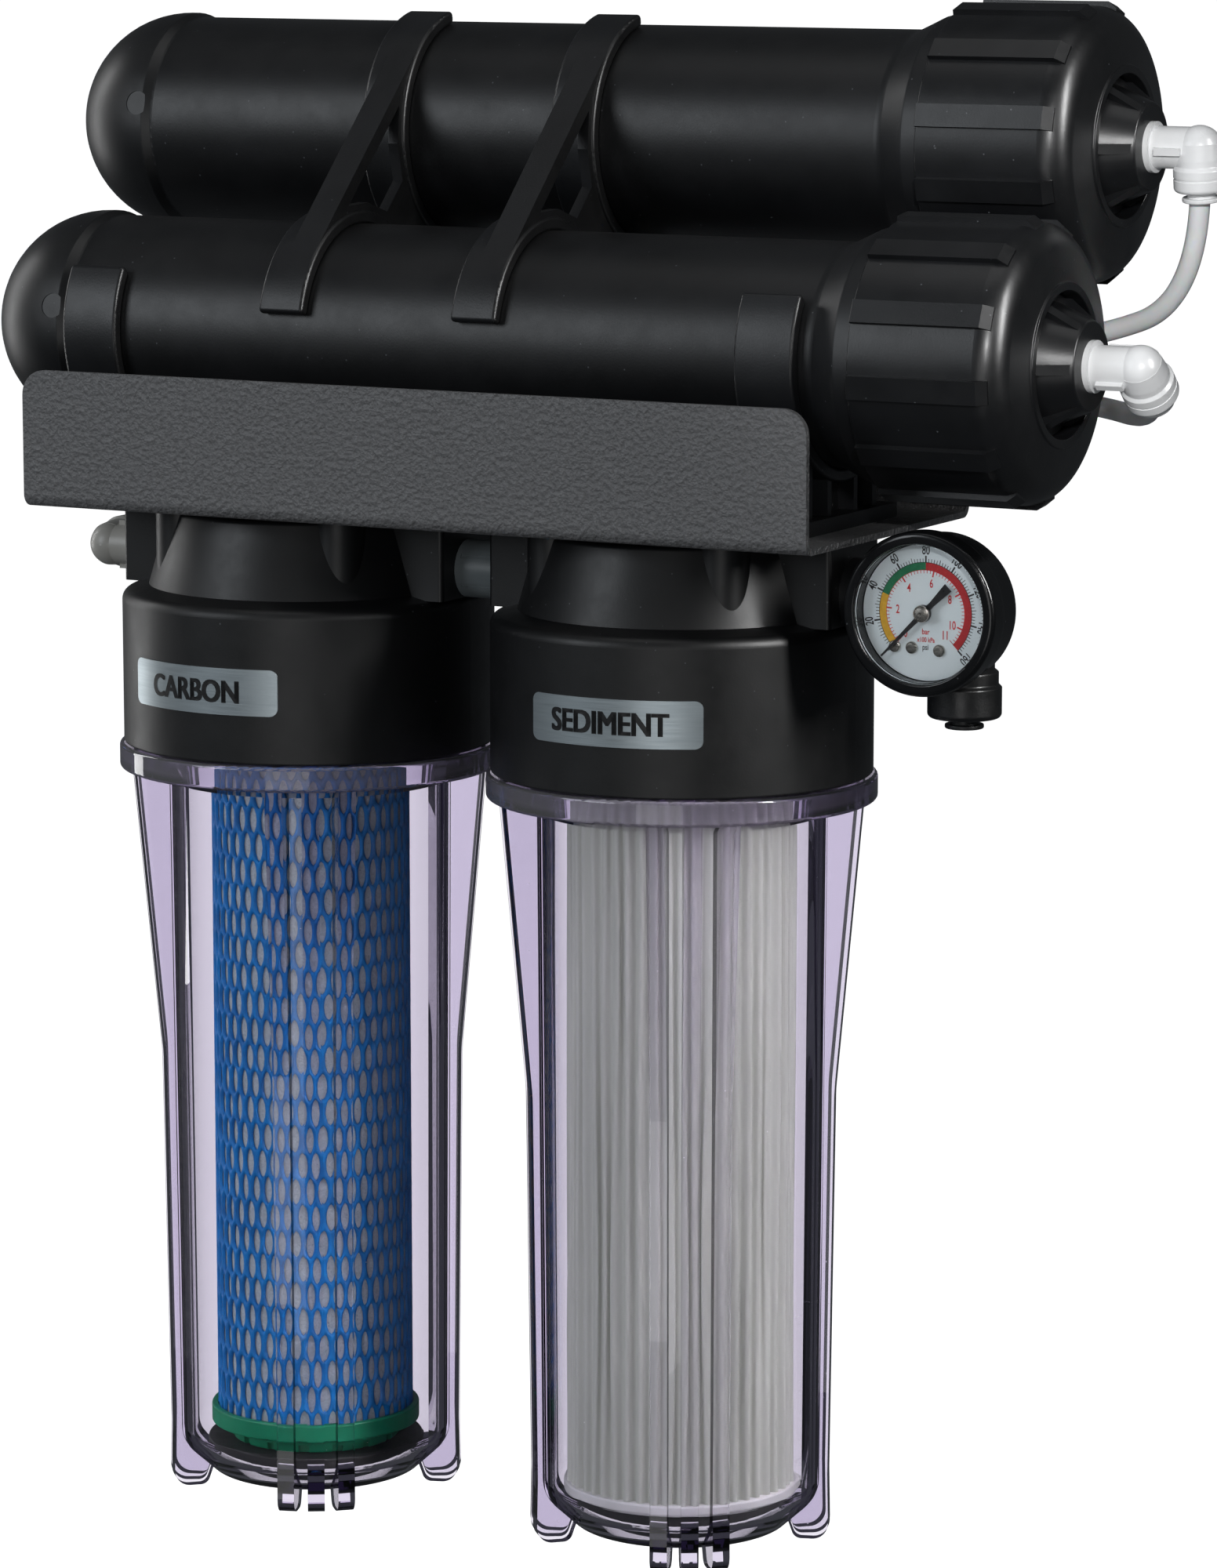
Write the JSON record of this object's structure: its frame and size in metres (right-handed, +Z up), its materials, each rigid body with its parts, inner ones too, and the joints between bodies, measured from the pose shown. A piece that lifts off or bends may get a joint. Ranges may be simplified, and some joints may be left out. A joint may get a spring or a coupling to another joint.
{
  "type": "reverse osmosis unit",
  "caption": "Wall-hung reverse osmosis unit with clear sediment and carbon canisters, clipped membrane housings, a pressure gauge and push-in tubing on a folded steel bracket.",
  "frame": {"origin": "rear face of the bracket's back plate, midway between its two wall holes", "axes": "+X along the membrane housings towards their screw caps, +Y back to the wall, +Z up"},
  "size_m": [0.4095, 0.1699, 0.477],
  "materials": {
    "powder_coat": "textured powder coat",
    "screw_steel": "plain",
    "head_plastic": "moulded satin",
    "grey_plastic": "moulded satin",
    "foil": "brushed foil",
    "fitting_black": "moulded",
    "gauge_black": "moulded",
    "lens": "clear",
    "dial_print": "printed",
    "dial_screw_metal": "polished",
    "needle_paint": "satin",
    "brass": "plain",
    "clip_plastic": "moulded satin",
    "tubing": "extruded satin",
    "white_plastic": "moulded satin",
    "housing_plastic": "moulded satin",
    "nut_plastic": "moulded satin",
    "rubber": "matt",
    "membrane_wrap": "wound film",
    "clear_plastic": "clear moulded, faint lilac",
    "green_plastic": "moulded",
    "carbon_black": "pressed carbon",
    "fleece": "non-woven",
    "blue_net": "extruded net",
    "pleated_paper": "pleated",
    "core_plastic": "moulded"
  },
  "bodies": {
    "frame": {"bracket": "powder_coat", "carbon_head": "head_plastic", "carbon_label": "foil", "clip_screws": "screw_steel", "feed_hose": "tubing", "gauge_bezel": "gauge_black", "gauge_bourdon_tube": "brass", "gauge_case": "gauge_black", "gauge_dial": "dial_print", "gauge_dial_screws": "dial_screw_metal", "gauge_lens": "lens", "gauge_movement": "brass", "gauge_tee": "fitting_black", "head_screws": "screw_steel", "left_double_clip": "clip_plastic", "left_shelf_clip": "clip_plastic", "lower_brine_seal": "rubber", "lower_elbow": "white_plastic", "lower_end_plug": "nut_plastic", "lower_hose": "tubing", "lower_membrane": "membrane_wrap", "lower_membrane_housing": "housing_plastic", "lower_plug_seal": "rubber", "outlet_elbow": "grey_plastic", "port_nipple": "grey_plastic", "right_double_clip": "clip_plastic", "right_shelf_clip": "clip_plastic", "sediment_head": "head_plastic", "sediment_label": "foil", "upper_brine_seal": "rubber", "upper_elbow": "white_plastic", "upper_end_plug": "nut_plastic", "upper_hose": "tubing", "upper_membrane": "membrane_wrap", "upper_membrane_housing": "housing_plastic", "upper_plug_seal": "rubber", "y_connector": "white_plastic"},
    "carbon_seal": {"carbon_sump_seal": "rubber"},
    "sediment_seal": {"sediment_sump_seal": "rubber"},
    "carbon_canister": {"carbon_sump": "clear_plastic", "carbon_base_pad": "rubber", "carbon_gasket": "rubber", "carbon_end_caps": "green_plastic", "carbon_block": "carbon_black", "carbon_wrap": "fleece", "carbon_net": "blue_net"},
    "sediment_canister": {"sediment_sump": "clear_plastic", "sediment_base_pad": "rubber", "sediment_gasket": "rubber", "sediment_pleats": "pleated_paper", "sediment_core": "core_plastic", "sediment_end_caps": "core_plastic"},
    "lower_nut": {"lower_cap_nut": "nut_plastic"},
    "upper_nut": {"upper_cap_nut": "nut_plastic"},
    "needle": {"gauge_needle": "needle_paint"},
    "inlet_release": {"inlet_collet": "fitting_black"},
    "outlet_release": {"outlet_collet": "grey_plastic"},
    "lower_release": {"lower_collet": "white_plastic"},
    "upper_release": {"upper_collet": "white_plastic"}
  },
  "joints": [
    {"name": "carbon_sump_drop", "type": "slide", "parent": "frame", "child": "carbon_seal", "axis": [0, 0, -1], "range_m": [0, 0.0151]},
    {"name": "carbon_sump_turn", "type": "hinge", "parent": "carbon_seal", "child": "carbon_canister", "pos_m": [-0.06675, -0.058, -0.108], "axis": [0, 0, -1], "range_deg": [0, 1080]},
    {"name": "sediment_sump_drop", "type": "slide", "parent": "frame", "child": "sediment_seal", "axis": [0, 0, -1], "range_m": [0, 0.0151]},
    {"name": "sediment_sump_turn", "type": "hinge", "parent": "sediment_seal", "child": "sediment_canister", "pos_m": [0.06675, -0.058, -0.108], "axis": [0, 0, -1], "range_deg": [0, 1080]},
    {"name": "lower_cap_nut_turn", "type": "hinge", "parent": "frame", "child": "lower_nut", "pos_m": [0.165, -0.058, 0.022], "axis": [1, 0, 0], "range_deg": [0, 720]},
    {"name": "upper_cap_nut_turn", "type": "hinge", "parent": "frame", "child": "upper_nut", "pos_m": [0.156, 0.0065, 0.0828], "axis": [1, 0, 0], "range_deg": [0, 720]},
    {"name": "gauge_needle_turn", "type": "hinge", "parent": "frame", "child": "needle", "pos_m": [0.162, -0.092, -0.05], "axis": [0, 1, 0], "range_deg": [0, 270], "stiffness_Nm_per_rad": 0.0002},
    {"name": "inlet_collet_press", "type": "slide", "parent": "frame", "child": "inlet_release", "axis": [0, 0, 1], "range_m": [0, 0.0015]},
    {"name": "outlet_collet_press", "type": "slide", "parent": "frame", "child": "outlet_release", "axis": [0, -1, 0], "range_m": [0, 0.0015]},
    {"name": "lower_collet_press", "type": "slide", "parent": "frame", "child": "lower_release", "axis": [0, -0.7314, 0.682], "range_m": [0, 0.0015]},
    {"name": "upper_collet_press", "type": "slide", "parent": "frame", "child": "upper_release", "axis": [0, -0.1392, 0.9903], "range_m": [0, 0.0015]}
  ],
  "couplings": [
    {"joint": "carbon_sump_drop", "follows": "carbon_sump_turn", "m_per_rad": 0.00079577},
    {"joint": "sediment_sump_drop", "follows": "sediment_sump_turn", "m_per_rad": 0.00079577}
  ]
}
